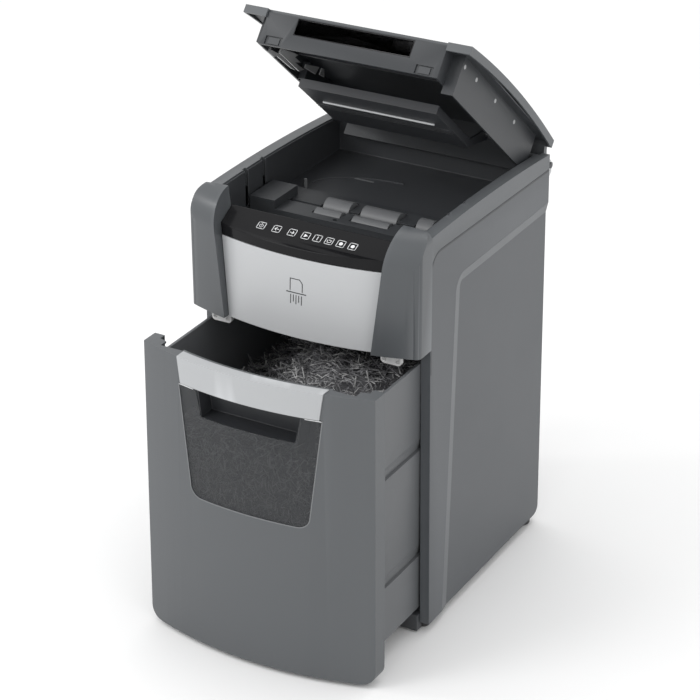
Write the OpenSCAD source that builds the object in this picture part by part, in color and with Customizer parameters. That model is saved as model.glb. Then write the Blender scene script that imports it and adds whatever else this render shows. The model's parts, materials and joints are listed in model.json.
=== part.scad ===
// Auto-feed paper shredder: cabinet with a cutting head, hinged lid and pull-out bin.
// X runs across the machine, the front faces -Y and Z is up.
// Shapes are drawn in the cabinet frame: y = 0 is the cabinet's front face and z = 0 the floor.

/* [Cabinet] */
// Half width of the cabinet at its underside
cabinet_half_bottom = 172.3; // [168:0.1:176]
// Half width of the cabinet at the seam under the top frame
cabinet_half_top = 168.6; // [166:0.1:170]
// Depth of the cabinet
cabinet_depth = 343; // [341:1:350]
// Height of the underside above the floor
foot_height = 14; // [10:1:15]
// Height of the seam under the top frame, at the front
seam_front = 560; // [558:1:562]
// Height of the top rim, at the front
rim_front = 584; // [582:0.5:584.5]
// Fall of the rim from front to rear
rim_fall = 9.5; // [8:0.5:11]
// Rise of the rim's arch in its middle
rim_rise = 5; // [2:0.5:6]

/* [Lid] */
// How far the lid stands open, from level
lid_open = 40.5; // [38:0.5:41]
// Length of the lid from rear edge to front edge
lid_length = 330.8; // [326:0.2:331]
// Half width of the lid
lid_half = 165.5; // [160:0.5:167]
// Height of the lid's lip
lip_height = 11; // [9:0.5:11]
// Rise of the lid's dome in its middle
lid_rise = 9; // [5:0.5:9]
// Depth of the lid's inner box below the lip's top edge
liner_depth = 59; // [54:1:59]

/* [Bin] */
// How far the bin stands out of the cabinet
bin_out = 118; // [60:1:120]
// Half width of the bin's front panel at its top
bin_panel_half_top = 171; // [169:0.5:171]
// Half width of the bin's front panel at its bottom
bin_panel_half_bottom = 174; // [171:0.5:176]
// Height of the front panel's top edge
bin_panel_top = 424.6; // [420:0.2:424.8]
// Half width of the bin's box
bin_half = 155; // [150:1:156]
// Height of the bin box's rim
bin_rim = 406; // [395:1:408]

/* [Front] */
// Radius of the bowed front, seen from above
bow_r = 500; // [480:5:540]
// Height of the underside of the head's corner posts
head_bottom = 429; // [428:0.5:431]
// Height of the top of the corner posts
cheek_top = 595; // [590:1:596]

/* [Cutters] */
// Distance between the two cutter shafts
cutter_spacing = 36; // [36:0.5:36.5]
// Outer radius of the cutter discs
disc_r = 20; // [18:0.5:20]
// Thickness of one cutter disc
disc_t = 3.6; // [3:0.1:3.8]
// Spacing of the discs along a shaft
disc_pitch = 8.4; // [8.4:0.2:9]

/* [Hidden] */
$fn = 64;
wall = 3;
border = 7;
gap = 0.3;
seam_gap = 0.6;
seam_rear = seam_front - 7;
corner_r = 27;
post_y = -31.7;
stile_w = 14;
stile_d = 6;
recess_depth = 3.6;

lean = (cabinet_half_bottom - cabinet_half_top) / (seam_front - foot_height);
function half_at(z) = cabinet_half_bottom - lean * (z - foot_height);

hinge_y = 352;
hinge_z = 555;
lid_rear = -13.7;
lid_front = lid_rear - lid_length;
lid_edge_z = 31.1;
lip_z = lid_edge_z - lip_height;
liner_z = lid_edge_z - liner_depth;
liner_half = 148;
liner_front = lid_front + 26.5;
liner_rear = lid_rear - 24;
flange_z = lip_z + 5.8;
nose_front = lid_front + wall + gap;
nose_half = 131;
nose_z = -17;
grip_half = 85;
grip_depth = 15;
grip_z = 3;
magnet_x = 110;

bin_y = -29.2 - bin_out;
bow_reach = sqrt(bow_r * bow_r - bin_panel_half_top * bin_panel_half_top);
bin_lean = 0.72;
panel_bottom = 6;
bin_floor = 36;
bin_back = 323 - bin_out;
flange_depth = 20;
handle_lip = 14;
return_depth = 26;

apex_y = bin_y + bow_reach - bow_r - (bin_panel_top - panel_bottom) * sin(bin_lean);
lid_back_y = hinge_y + lid_rear * cos(lid_open) + lid_edge_z * sin(lid_open);
y_mid = (apex_y + lid_back_y) / 2;

tray_half = 151.5;
tray_front = 14.5;
tray_rear = cabinet_depth - 16.5;
tray_floor = 526;
slot_spots = [73, 117];
slot_w = 7;
sill_half = 139;
sill_z = 541;
housing_top = 538;
housing_half = 144.6;
block_top = 550;

plate_x = 128;
plate_t = 3;
plate_front = 64;
cutter_z = 470;
cutter_y = 98;
nip_y = cutter_y + cutter_spacing / 2;
rear_cutter_y = cutter_y + cutter_spacing;
shaft_r = 5;
root_r = 14;
disc_count = 27;
front_feed = [101, 530];
rear_feed = [130, 529];
front_roller_r = 11;
rear_roller_r = 15;
feed_shaft_r = 4;
roller_spans = [[-56, -17], [1, 55], [84, 106]];

module_g = 1.5;
cutter_teeth = 24;
idler_teeth = 24;
feed_teeth = 12;
small_teeth = 14;
big_teeth = 40;
pinion_teeth = 12;
motor_gear_teeth = 48;
function pitch_r(n) = module_g * n / 2;
gear_x1 = 134;
gear_x2 = 144;
gear_x3 = 151.5;
gear_w1 = 8;
gear_w2 = 6;
axle_r = 3;

// Where a gear sits that meshes with two others, at distances a and b from points p and q.
function mesh_point(p, q, a, b, side) =
    let(d = norm(q - p))
    let(along = (d * d + a * a - b * b) / (2 * d))
    let(off = sqrt(a * a - along * along))
    let(u = (q - p) / d)
    p + along * u + side * off * [u[1], -u[0]];

front_idler = mesh_point([cutter_y, cutter_z], front_feed,
    pitch_r(cutter_teeth) + pitch_r(idler_teeth), pitch_r(feed_teeth) + pitch_r(idler_teeth), -1);
rear_idler = mesh_point([rear_cutter_y, cutter_z], rear_feed,
    pitch_r(cutter_teeth) + pitch_r(idler_teeth), pitch_r(feed_teeth) + pitch_r(idler_teeth), 1);
reduction_angle = -10;
reduction_at = [rear_cutter_y, cutter_z]
    + (pitch_r(cutter_teeth) + pitch_r(small_teeth)) * [cos(reduction_angle), sin(reduction_angle)];
motor_gear_angle = 18;
motor_gear_at = reduction_at
    + (pitch_r(big_teeth) + pitch_r(pinion_teeth)) * [cos(motor_gear_angle), sin(motor_gear_angle)];
motor_angle = -14;
motor_at = motor_gear_at
    + (pitch_r(motor_gear_teeth) + pitch_r(pinion_teeth)) * [cos(motor_angle), sin(motor_angle)];

inlet_x = -112;
switch_x = -70;
socket_z = 462;
rocker_tilt = 9;

// ---- Helpers ----

// Points along an arc from angle a0 to a1.
function arc(cx, cy, r, a0, a1, n = 10) =
    [for (i = [0:n]) let(a = a0 + (a1 - a0) * i / n) [cx + r * cos(a), cy + r * sin(a)]];

// Points of a shallow arch from p to q that rises by h in its middle.
function arch(p, q, h, n = 16) =
    [for (i = [0:n]) let(t = i / n) p + t * (q - p) + [0, 4 * h * t * (1 - t)]];

// Moves the cabinet frame so that the origin is under the middle of the whole object.
module place() {
    translate([0, -y_mid, 0]) children();
}

// A box given by its lowest and highest corners.
module block(a, b) {
    translate(a) cube(b - a);
}

// A profile drawn in Y and Z, extruded along X from x0 to x1.
module side_profile(points, x0, x1) {
    translate([x0, 0, 0]) rotate([90, 0, 90]) linear_extrude(x1 - x0) polygon(points);
}

// A profile drawn in X and Z, extruded along Y from y0 to y1.
module front_profile(points, y0, y1) {
    translate([0, y1, 0]) rotate([90, 0, 0]) linear_extrude(y1 - y0) polygon(points);
}

// A cylinder along X from x0 to x1 through the point p in Y and Z.
module rod(p, r, x0, x1) {
    translate([x0, p[0], p[1]]) rotate([0, 90, 0]) cylinder(r = r, h = x1 - x0);
}

// A cylinder along Y from y0 to y1 through the point p in X and Z.
module peg(p, r, y0, y1) {
    translate([p[0], y1, p[1]]) rotate([90, 0, 0]) cylinder(r = r, h = y1 - y0);
}

// Everything behind the bowed front whose corners lie at corner_y, moved back by inset.
module bow(corner_y, inset, z0, z1) {
    translate([0, corner_y + bow_reach, z0]) cylinder(r = bow_r - inset, h = z1 - z0, $fn = 128);
}

// Moves lid pieces, drawn round the hinge with the lid level, to the open lid.
module lid_place() {
    place() translate([0, hinge_y, hinge_z]) rotate([-lid_open, 0, 0]) children();
}

// Leans the bin's front panel forward at its foot.
module bin_tilt() {
    translate([0, bin_y, bin_panel_top]) rotate([-bin_lean, 0, 0])
        translate([0, -bin_y, -bin_panel_top]) children();
}

// A spur gear along X with a bore; turn sets the angle of its first tooth.
module gear(at, teeth, x0, w, bore_r, turn) {
    r = pitch_r(teeth);
    step = 360 / teeth;
    points = [for (i = [0:teeth - 1]) for (k = [[-0.31, -1.7], [-0.12, 1.2], [0.12, 1.2], [0.31, -1.7]])
        let(a = turn + step * (i + k[0])) (r + k[1]) * [cos(a), sin(a)]];
    translate([x0, at[0], at[1]]) rotate([90, 0, 90]) difference() {
        linear_extrude(w) polygon(points);
        if (bore_r > 0) translate([0, 0, -1]) cylinder(r = bore_r, h = w + 2);
    }
}

// The turn that lets a gear at q mesh with a gear at p whose own turn is known.
function mesh_turn(p, turn_p, teeth_p, q, teeth_q) =
    let(dir = atan2(q[1] - p[1], q[0] - p[0]))
    let(phase = (dir - turn_p) * teeth_p / 360)
    dir + 180 + (phase + 0.5) * 360 / teeth_q;

rear_cutter_turn = 0;
rear_cutter_at = [rear_cutter_y, cutter_z];
front_cutter_at = [cutter_y, cutter_z];
front_cutter_turn = mesh_turn(rear_cutter_at, rear_cutter_turn, cutter_teeth, front_cutter_at, cutter_teeth);
front_idler_turn = mesh_turn(front_cutter_at, front_cutter_turn, cutter_teeth, front_idler, idler_teeth);
rear_idler_turn = mesh_turn(rear_cutter_at, rear_cutter_turn, cutter_teeth, rear_idler, idler_teeth);
front_feed_turn = mesh_turn(front_idler, front_idler_turn, idler_teeth, front_feed, feed_teeth);
rear_feed_turn = mesh_turn(rear_idler, rear_idler_turn, idler_teeth, rear_feed, feed_teeth);
small_turn = mesh_turn(rear_cutter_at, rear_cutter_turn, cutter_teeth, reduction_at, small_teeth);
big_turn = small_turn;
pinion_turn = mesh_turn(reduction_at, big_turn, big_teeth, motor_gear_at, pinion_teeth);
motor_gear_turn = pinion_turn;
rotor_turn = mesh_turn(motor_gear_at, motor_gear_turn, motor_gear_teeth, motor_at, pinion_teeth);

// ---- Cabinet ----

body_color = [0.44, 0.45, 0.46];
dark_color = [0.24, 0.25, 0.27];
steel_color = [0.72, 0.73, 0.75];
silver_color = [0.80, 0.81, 0.82];

module base_plate() {
    color(dark_color) place() {
        difference() {
            block([-165, stile_d + gap, foot_height], [165, cabinet_depth - wall - gap, 30]);
            block([-162, stile_d + 3, 17], [162, cabinet_depth - 2 * wall, 31]);
        }
        block([-158, -7, 3], [158, stile_d + gap, 28]);
    }
}

module feet() {
    color([0.12, 0.12, 0.13]) place()
        for (side = [-1, 1])
            for (y = [20, cabinet_depth - 18])
                translate([side * 152, y, 0]) {
                    cylinder(r1 = 10.5, r2 = 12, h = 2.5);
                    translate([0, 0, 2.5]) cylinder(r = 12, h = foot_height - 2.5);
                }
}

side_outline = concat([[0, foot_height], [cabinet_depth - corner_r / 2, foot_height]],
    arc(cabinet_depth - 13.5, foot_height + 13.5, 13.5, -90, 0),
    [[cabinet_depth, seam_rear], [corner_r, seam_front]],
    arc(corner_r, seam_front - corner_r, corner_r, 90, 180));

module side_panel(side) {
    recess = concat([[38, foot_height - 1], [cabinet_depth + 1, foot_height - 1],
        [cabinet_depth + 1, 504]], arc(95, 479, 25, 90, 176));
    color(body_color) place() mirror([side < 0 ? 1 : 0, 0, 0]) {
        intersection() {
            side_profile(side_outline, 100, 200);
            union() {
                difference() {
                    front_profile([[cabinet_half_bottom - border, foot_height],
                        [cabinet_half_bottom, foot_height], [cabinet_half_top, seam_front],
                        [cabinet_half_top - border, seam_front]], 0, cabinet_depth);
                    intersection() {
                        side_profile(recess, 100, 200);
                        front_profile([[cabinet_half_bottom - recess_depth, foot_height - 1],
                            [cabinet_half_bottom + 9, foot_height - 1], [cabinet_half_top + 9, seam_front],
                            [cabinet_half_top - recess_depth, seam_front]], 0, cabinet_depth + 2);
                    }
                }
                front_profile([[cabinet_half_bottom - stile_w, foot_height],
                    [cabinet_half_bottom - border, foot_height], [cabinet_half_top - border, seam_front],
                    [cabinet_half_top - stile_w, seam_front]], 0, stile_d);
            }
        }
    }
}

module left_side_panel() {
    side_panel(-1);
}

module right_side_panel() {
    side_panel(1);
}

module rear_panel() {
    inner = border + 0.1;
    color(body_color) place() difference() {
        front_profile([[-(cabinet_half_bottom - inner), foot_height], [cabinet_half_bottom - inner, foot_height],
            [cabinet_half_top - inner, seam_rear - gap], [-(cabinet_half_top - inner), seam_rear - gap]],
            cabinet_depth - wall, cabinet_depth);
        for (i = [0:9])
            block([-6 + 12 * i, cabinet_depth - 9, 446], [-1 + 12 * i, cabinet_depth + 1, 506]);
        block([inlet_x - 14, cabinet_depth - 9, socket_z - 10], [inlet_x + 14, cabinet_depth + 1, socket_z + 10]);
        block([switch_x - 10, cabinet_depth - 9, socket_z - 14], [switch_x + 10, cabinet_depth + 1, socket_z + 14]);
    }
}

module top_frame() {
    outline = concat(arc(corner_r, seam_front - corner_r, corner_r + seam_gap, 180, 90),
        [[cabinet_depth, seam_rear + seam_gap]],
        arch([cabinet_depth, rim_front - rim_fall], [-seam_gap, rim_front], rim_rise));
    color(body_color) place() difference() {
        intersection() {
            side_profile(outline, -200, 200);
            front_profile([[-half_at(500), 500], [half_at(500), 500], [half_at(600), 600],
                [-half_at(600), 600]], seam_gap, cabinet_depth);
        }
        block([-tray_half - 0.5, tray_front - 0.5, 500], [tray_half + 0.5, tray_rear + 0.5, 620]);
        for (side = [-1, 1])
            for (y = slot_spots)
                block([side * tray_half - 3, y, 500], [side * tray_half + 3, y + slot_w, 620]);
        block([-131, -10, 500], [131, 3, 620]);
        block([-sill_half, -10, sill_z], [sill_half, tray_front + wall, 620]);
        for (x = bracket_x)
            block([x - arm_half - 1.6, 333, 500], [x + arm_half + 1.6, cabinet_depth + 1, 620]);
    }
}

post_back = 45;
post_round = 8;

// The front view of a corner post, drawn in by t, with a rounded outer shoulder.
function cheek_outline(t) = concat([[109.5 + t, head_bottom + t], [171 - t, head_bottom + t]],
    arc(171 - 15, cheek_top - 15, 15 - t, 0, 90), [[129.5 + t, cheek_top - t], [122.5 + t, 539]]);

// The bowed body of the posts, drawn in by t, whose top rolls over towards the rear.
module post_body(t) {
    profile = concat([[0, head_bottom - 1], [bow_r - t, head_bottom - 1]],
        arc(bow_r - post_back, cheek_top - post_back, post_back - t, 0, 90), [[0, cheek_top - t]]);
    translate([0, post_y + bow_reach, 0]) rotate_extrude($fn = 128) polygon(profile);
}

// Rounds the post's outer front edge, seen from above.
module post_corner(t) {
    cx = 171 - post_round;
    cy = post_y + bow_reach - sqrt(pow(bow_r - post_round, 2) - cx * cx);
    translate([cx, cy, head_bottom - 1]) cylinder(r = post_round - t, h = 200);
    block([100, -80, head_bottom - 1], [cx, 5, head_bottom + 199]);
    block([100, cy, head_bottom - 1], [171 - t, 5, head_bottom + 199]);
}

module cheek(side) {
    color(body_color) place() mirror([side < 0 ? 1 : 0, 0, 0]) difference() {
        intersection() {
            post_body(0);
            front_profile(cheek_outline(0), -60, 0);
            post_corner(0);
        }
        intersection() {
            post_body(wall);
            front_profile(cheek_outline(wall), -60, 1);
            post_corner(wall);
        }
    }
}

module left_cheek() {
    cheek(-1);
}

module right_cheek() {
    cheek(1);
}

fascia_lean = 3;
fascia_inset = 10.2;
fascia_top = 538.5;

module silver_fascia() {
    color(silver_color) place() intersection() {
        front_profile([[-109, head_bottom - 1], [109, head_bottom - 1], [122, fascia_top], [-122, fascia_top]],
            -60, 0);
        translate([0, 0, head_bottom]) rotate([-fascia_lean, 0, 0]) translate([0, 0, -head_bottom])
            difference() {
                bow(post_y, fascia_inset, head_bottom - 20, fascia_top + 20);
                bow(post_y, fascia_inset + wall, head_bottom - 21, fascia_top + 21);
            }
    }
}

module control_panel() {
    outer = [[-60, 539], [1.3, 539], [1.3, 569], [-30.5, 555], [-60, 549]];
    inner = [[-60, 538], [-2, 538], [-2, 564.5], [-30.5, 552], [-60, 546]];
    color([0.05, 0.05, 0.06]) place() difference() {
        intersection() {
            bow(post_y, 16.2, 539, 569);
            front_profile([[-122, 539], [122, 539], [129, 592], [-129, 592]], -60, 2);
            side_profile(outer, -130, 130);
        }
        intersection() {
            bow(post_y, 19.2, 530, 569);
            side_profile(inner, -118, 118);
        }
    }
}

module control_board() {
    color([0.10, 0.35, 0.20]) place() {
        block([-105, -24, 541], [105, -4, 542.6]);
        for (i = [0:7])
            translate([-68 + 19 * i, -14, 542.6]) cylinder(r = 5, h = 2);
    }
}

// ---- Head ----

module head_base() {
    color(dark_color) place() difference() {
        block([-157.5, stile_d + gap, 414], [157.5, cabinet_depth - wall - gap, 417]);
        block([-122, 80, 413], [122, 152, 418]);
    }
}

// The side view of the tray, whose top follows the rim a little below it.
tray_side = concat([[0, tray_floor - wall], [cabinet_depth, tray_floor - wall]],
    arch([cabinet_depth, rim_front - rim_fall - 1.6], [-seam_gap, rim_front - 1.6], rim_rise));

module paper_tray() {
    color(dark_color) place() difference() {
        intersection() {
            block([-tray_half, tray_front, tray_floor - wall], [tray_half, tray_rear, 620]);
            side_profile(tray_side, -tray_half, tray_half);
        }
        block([-tray_half + 2.5, tray_front + 2.5, tray_floor], [tray_half - 2.5, tray_rear - 2.5, 620]);
        block([-136, 78, tray_floor - 5], [143, 152, tray_floor + 1]);
        block([-sill_half, tray_front - 1, sill_z], [sill_half, tray_front + wall, 620]);
        for (side = [-1, 1])
            for (y = slot_spots)
                block([side * tray_half - 3, y, 532], [side * tray_half + 3, y + slot_w, 620]);
    }
}

module feed_housing() {
    color([0.20, 0.21, 0.23]) place() difference() {
        union() {
            block([-housing_half, 75, tray_floor], [housing_half, 155, housing_top]);
            block([-housing_half, 75, tray_floor], [-106, 135, block_top]);
            block([126, 75, tray_floor], [housing_half, 155, block_top]);
        }
        block([-143, 77.5, tray_floor - 1], [143, 152.5, housing_top - 2]);
        block([-143, 77.5, tray_floor - 1], [-108, 133, block_top - 1.5]);
        block([123, 77.5, tray_floor - 1], [143, 152.5, block_top - 1.5]);
        block([-104, 110.5, tray_floor], [118, 115.5, housing_top + 1]);
        for (span = roller_spans) {
            block([span[0] - 2, 89.5, tray_floor], [span[1] + 2, 112.5, housing_top + 1]);
            block([span[0] - 2, 114, tray_floor], [span[1] + 2, 146, housing_top + 1]);
        }
        translate([-18, 83, tray_floor]) cylinder(r = 3, h = 30);
    }
}

module head_plate_bores(x0, x1) {
    for (y = [cutter_y, rear_cutter_y])
        rod([y, cutter_z], 8, x0, x1);
    rod(front_feed, feed_shaft_r + 0.05, x0, x1);
    rod(rear_feed, feed_shaft_r + 0.05, x0, x1);
    for (p = tie_points)
        rod(p, 4, x0, x1);
}

module left_head_plate() {
    color(steel_color) place() difference() {
        union() {
            block([-plate_x - plate_t, plate_front, 417], [-plate_x, 170, 521]);
            block([-plate_x - plate_t, 82, 520], [-plate_x, 150, 535.5]);
        }
        head_plate_bores(-plate_x - plate_t - 1, -plate_x + 1);
    }
}

module right_head_plate() {
    color(steel_color) place() difference() {
        union() {
            block([plate_x, plate_front, 417], [plate_x + plate_t, 290, 521]);
            block([plate_x, 82, 520], [plate_x + plate_t, 150, 535.5]);
        }
        head_plate_bores(plate_x - 1, plate_x + plate_t + 1);
        rod(motor_at, 14, plate_x - 1, plate_x + plate_t + 1);
    }
}

tie_points = [[80, 432], [160, 432], [81, 512], [158, 512]];

module tie_rods() {
    color(steel_color) place()
        for (p = tie_points) {
            rod(p, 4, -plate_x - plate_t, plate_x + plate_t);
            for (x = [-plate_x - plate_t - 2.4, plate_x + plate_t])
                rod(p, 5.5, x, x + 2.4);
        }
}

module cutter_bushes() {
    color([0.75, 0.60, 0.30]) place()
        for (y = [cutter_y, rear_cutter_y])
            for (x = [-plate_x - plate_t, plate_x])
                difference() {
                    rod([y, cutter_z], 8, x, x + plate_t);
                    rod([y, cutter_z], shaft_r + 0.04, x - 1, x + plate_t + 1);
                }
}

// A cutter: one turned shaft with its discs, start is the middle of its first disc.
module cutter(at, start, right_end) {
    discs = [for (i = [0:disc_count - 1]) for (k = [[-1, root_r], [-1, disc_r], [1, disc_r], [1, root_r]])
        [k[1], start + disc_pitch * i + k[0] * disc_t / 2]];
    outline = concat([[0, -134], [shaft_r, -134], [shaft_r, -124], [root_r, -124]], discs,
        [[root_r, 124], [shaft_r, 124], [shaft_r, right_end], [0, right_end]]);
    color([0.55, 0.56, 0.58]) place() translate([0, at[0], at[1]]) rotate([0, 90, 0])
        rotate_extrude() polygon(outline);
}

module front_cutter() {
    cutter(front_cutter_at, -disc_pitch * (disc_count - 1) / 2 - disc_pitch / 4, 142);
}

module rear_cutter() {
    cutter(rear_cutter_at, -disc_pitch * (disc_count - 1) / 2 + disc_pitch / 4, 142);
}

gear_color = [0.85, 0.84, 0.78];

module front_cutter_gear() {
    color(steel_color) place()
        gear(front_cutter_at, cutter_teeth, gear_x1, gear_w1, shaft_r, front_cutter_turn);
}

module rear_cutter_gear() {
    color(steel_color) place()
        gear(rear_cutter_at, cutter_teeth, gear_x1, gear_w1, shaft_r, rear_cutter_turn);
}

// A comb whose fingers reach between the discs of one cutter.
module stripper(at, start, outward) {
    bar_y = at[0] + outward * 27;
    color([0.16, 0.16, 0.17]) place() difference() {
        union() {
            translate([-plate_x, bar_y - 4, at[1] - 9]) cube([2 * plate_x, 8, 18]);
            for (i = [0:disc_count])
                translate([start + disc_pitch * (i - 0.5) - 1.6, at[0] + (outward > 0 ? 12 : -26), at[1] - 7])
                    cube([3.2, 14, 14]);
        }
        rod(at, root_r + 0.6, -plate_x - 1, plate_x + 1);
    }
}

module front_stripper() {
    stripper(front_cutter_at, -disc_pitch * (disc_count - 1) / 2 - disc_pitch / 4, -1);
}

module rear_stripper() {
    stripper(rear_cutter_at, -disc_pitch * (disc_count - 1) / 2 + disc_pitch / 4, 1);
}

module paper_chute() {
    color([0.30, 0.31, 0.33]) place()
        for (y = [nip_y - 9, nip_y + 7.5])
            block([-plate_x, y, 494], [plate_x, y + 1.5, 511]);
}

module feed_shaft(at) {
    color(steel_color) place() rod(at, feed_shaft_r, -134, gear_x1 + gear_w1);
}

module front_feed_shaft() {
    feed_shaft(front_feed);
}

module rear_feed_shaft() {
    feed_shaft(rear_feed);
}

module feed_rollers(at, r) {
    color([0.62, 0.63, 0.64]) place()
        for (span = roller_spans)
            difference() {
                rod(at, r, span[0], span[1]);
                rod(at, feed_shaft_r, span[0] - 1, span[1] + 1);
            }
}

module front_feed_rollers() {
    feed_rollers(front_feed, front_roller_r);
}

module rear_feed_rollers() {
    feed_rollers(rear_feed, rear_roller_r);
}

module front_feed_gear() {
    color(gear_color) place() gear(front_feed, feed_teeth, gear_x1, gear_w1, feed_shaft_r, front_feed_turn);
}

module rear_feed_gear() {
    color(gear_color) place() gear(rear_feed, feed_teeth, gear_x1, gear_w1, feed_shaft_r, rear_feed_turn);
}

module front_idler_gear() {
    color(gear_color) place() gear(front_idler, idler_teeth, gear_x1, gear_w1, axle_r + 0.05, front_idler_turn);
}

module rear_idler_gear() {
    color(gear_color) place() gear(rear_idler, idler_teeth, gear_x1, gear_w1, axle_r + 0.05, rear_idler_turn);
}

// A compound gear: a small gear and a big gear on one bored hub.
module compound(at, small, small_x, small_w, small_t, big, big_x, big_w, big_t) {
    low = min(small_x, big_x);
    high = max(small_x + small_w, big_x + big_w);
    difference() {
        union() {
            gear(at, small, small_x, small_w, 0, small_t);
            gear(at, big, big_x, big_w, 0, big_t);
            rod(at, 6, low, high);
        }
        rod(at, axle_r + 0.05, low - 1, high + 1);
    }
}

module reduction_gear() {
    color(gear_color) place()
        compound(reduction_at, small_teeth, gear_x1, gear_w1, small_turn, big_teeth, gear_x2, gear_w2, big_turn);
}

module motor_gear() {
    color(gear_color) place() compound(motor_gear_at, pinion_teeth, gear_x2, gear_w2, pinion_turn,
        motor_gear_teeth, gear_x3, 5, motor_gear_turn);
}

module gear_axles() {
    color(steel_color) place() {
        for (p = [front_idler, rear_idler])
            rod(p, axle_r, plate_x + plate_t, gear_x1 + gear_w1 + 0.5);
        rod(reduction_at, axle_r, plate_x + plate_t, gear_x2 + gear_w2 + 0.5);
        rod(motor_gear_at, axle_r, plate_x + plate_t, gear_x3 + 5.5);
    }
}

module motor_case() {
    color([0.35, 0.36, 0.38]) place() difference() {
        union() {
            rod(motor_at, 34, 8, 110);
            rod(motor_at, 26, 2, 8);
            rod(motor_at, 13.5, 110, plate_x + plate_t);
            for (a = [45, 135, 225, 315])
                rod(motor_at + 28 * [cos(a), sin(a)], 4, 110, plate_x);
        }
        rod(motor_at, 20, 14, 104);
        rod(motor_at, 5.06, 8, plate_x + plate_t + 1);
    }
}

module motor_rotor() {
    color(steel_color) place() {
        rod(motor_at, 5, 10, gear_x3 - 1);
        rod(motor_at, 18, 24, 94);
        gear(motor_at, pinion_teeth, gear_x3 - 1, 6, 0, rotor_turn);
    }
}

module power_board() {
    color([0.12, 0.38, 0.22]) place() {
        block([-148, 185, 423], [-34, 320, 424.6]);
        for (x = [-142, -40])
            for (y = [191, 314])
                translate([x, y, 417]) cylinder(r = 3.5, h = 6);
        block([-136, 200, 424.6], [-96, 240, 452]);
        for (i = [0:3])
            translate([-82, 202 + 22 * i, 424.6]) cylinder(r = 8, h = 26);
        block([-66, 200, 424.6], [-44, 226, 440]);
    }
}

module mains_inlet() {
    color([0.08, 0.08, 0.09]) place() difference() {
        union() {
            block([inlet_x - 13.8, cabinet_depth - 26, socket_z - 9.8],
                [inlet_x + 13.8, cabinet_depth, socket_z + 9.8]);
            block([inlet_x - 19, cabinet_depth, socket_z - 14], [inlet_x + 19, cabinet_depth + 2.5, socket_z + 14]);
        }
        block([inlet_x - 10.5, cabinet_depth - 15, socket_z - 7], [inlet_x + 10.5, cabinet_depth + 3, socket_z + 7]);
    }
}

module power_switch() {
    color([0.08, 0.08, 0.09]) place() difference() {
        union() {
            block([switch_x - 9.8, cabinet_depth - 22, socket_z - 13.8],
                [switch_x + 9.8, cabinet_depth, socket_z + 13.8]);
            block([switch_x - 12.5, cabinet_depth, socket_z - 17], [switch_x + 12.5, cabinet_depth + 2.5, socket_z + 17]);
        }
        block([switch_x - 7.5, cabinet_depth - 16, socket_z - 12], [switch_x + 7.5, cabinet_depth + 3, socket_z + 12]);
        rod([cabinet_depth - 5, socket_z], 1.5, switch_x - 9, switch_x + 9);
    }
}

module power_rocker() {
    outline = [[-5, -8], [4, -10.6], [7.5, -10.2], [5.4, 0], [7.5, 10.2], [4, 10.6], [-5, 8]];
    color([0.70, 0.08, 0.06]) place() translate([0, cabinet_depth - 5, socket_z]) rotate([rocker_tilt, 0, 0]) {
        side_profile(outline, switch_x - 7, switch_x + 7);
        rod([0, 0], 1.45, switch_x - 8.7, switch_x + 8.7);
    }
}

catch_x = 127.5;
catch_foot = 411;

module bin_catches() {
    color([0.86, 0.86, 0.87]) place()
        for (side = [-1, 1])
            difference() {
                front_profile(concat([[side * catch_x - 15, head_bottom]],
                    arc(side * catch_x - 10, catch_foot + 5, 5, 180, 270, 6),
                    arc(side * catch_x + 10, catch_foot + 5, 5, 270, 360, 6),
                    [[side * catch_x + 15, head_bottom]]), -28.5, -22.5);
                for (e = [-9.5, 9.5])
                    block([side * catch_x + e - 2.8, -29.5, catch_foot + 3.4],
                        [side * catch_x + e + 2.8, -24.5, head_bottom + 1]);
            }
}

module bin_runners() {
    color([0.18, 0.18, 0.19]) place()
        for (side = [-1, 1]) {
            block([side * 118 - 6, 12, 17], [side * 118 + 6, cabinet_depth - 8, bin_floor - 0.5]);
            block([side * 160 - 1.5, 12, 30], [side * 160 + 1.5, cabinet_depth - 8, 60]);
        }
}

bracket_x = [-141, 141];
knuckle_r = 7.5;

module hinge_brackets() {
    color(dark_color) place()
        for (x = bracket_x)
            difference() {
                union() {
                    block([x - 26, cabinet_depth, 528], [x + 26, cabinet_depth + wall, 546]);
                    for (side = [-1, 1])
                        difference() {
                            union() {
                                rod([hinge_y, hinge_z], knuckle_r, x + side * 19 - 4, x + side * 19 + 4);
                                block([x + side * 19 - 4, cabinet_depth, 530],
                                    [x + side * 19 + 4, hinge_y + knuckle_r, hinge_z]);
                            }
                            translate([x, cabinet_depth + 22, 528]) rotate([0, 90, 0])
                                cylinder(r = 15, h = 60, center = true);
                        }
                }
                rod([hinge_y, hinge_z], 3.05, x - 30, x + 30);
            }
}

module screw_head(p, y) {
    difference() {
        peg(p, 3.5, y, y + 2);
        translate([p[0] - 2.6, y + 1, p[1] - 0.5]) cube([5.2, 2, 1]);
        translate([p[0] - 0.5, y + 1, p[1] - 2.6]) cube([1, 2, 5.2]);
    }
}

module cabinet_screws() {
    color(steel_color) place() {
        for (side = [-1, 1]) {
            for (z = [40, 200, 360, 520])
                screw_head([side * 152, z], cabinet_depth);
            for (x = [side * 141 - 9, side * 141 + 9])
                screw_head([x, 541], cabinet_depth + wall);
        }
    }
}

// ---- Lid ----

lid_outline = concat([[lid_rear, lip_z]], arch([lid_rear, lid_edge_z], [lid_front, lid_edge_z], lid_rise, 20),
    [[lid_front, lip_z]], arch([lid_front + 3, lip_z], [lid_rear - 3, lip_z], lid_rise, 20));

arm_half = 14.4;
arm_outline = [[-knuckle_r, 0], [knuckle_r, 0], [4.5, 9], [-4, 18], [-12, 29], [lid_rear - wall, 29.5],
    [lid_rear - wall, 21], [-11, 12]];

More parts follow.
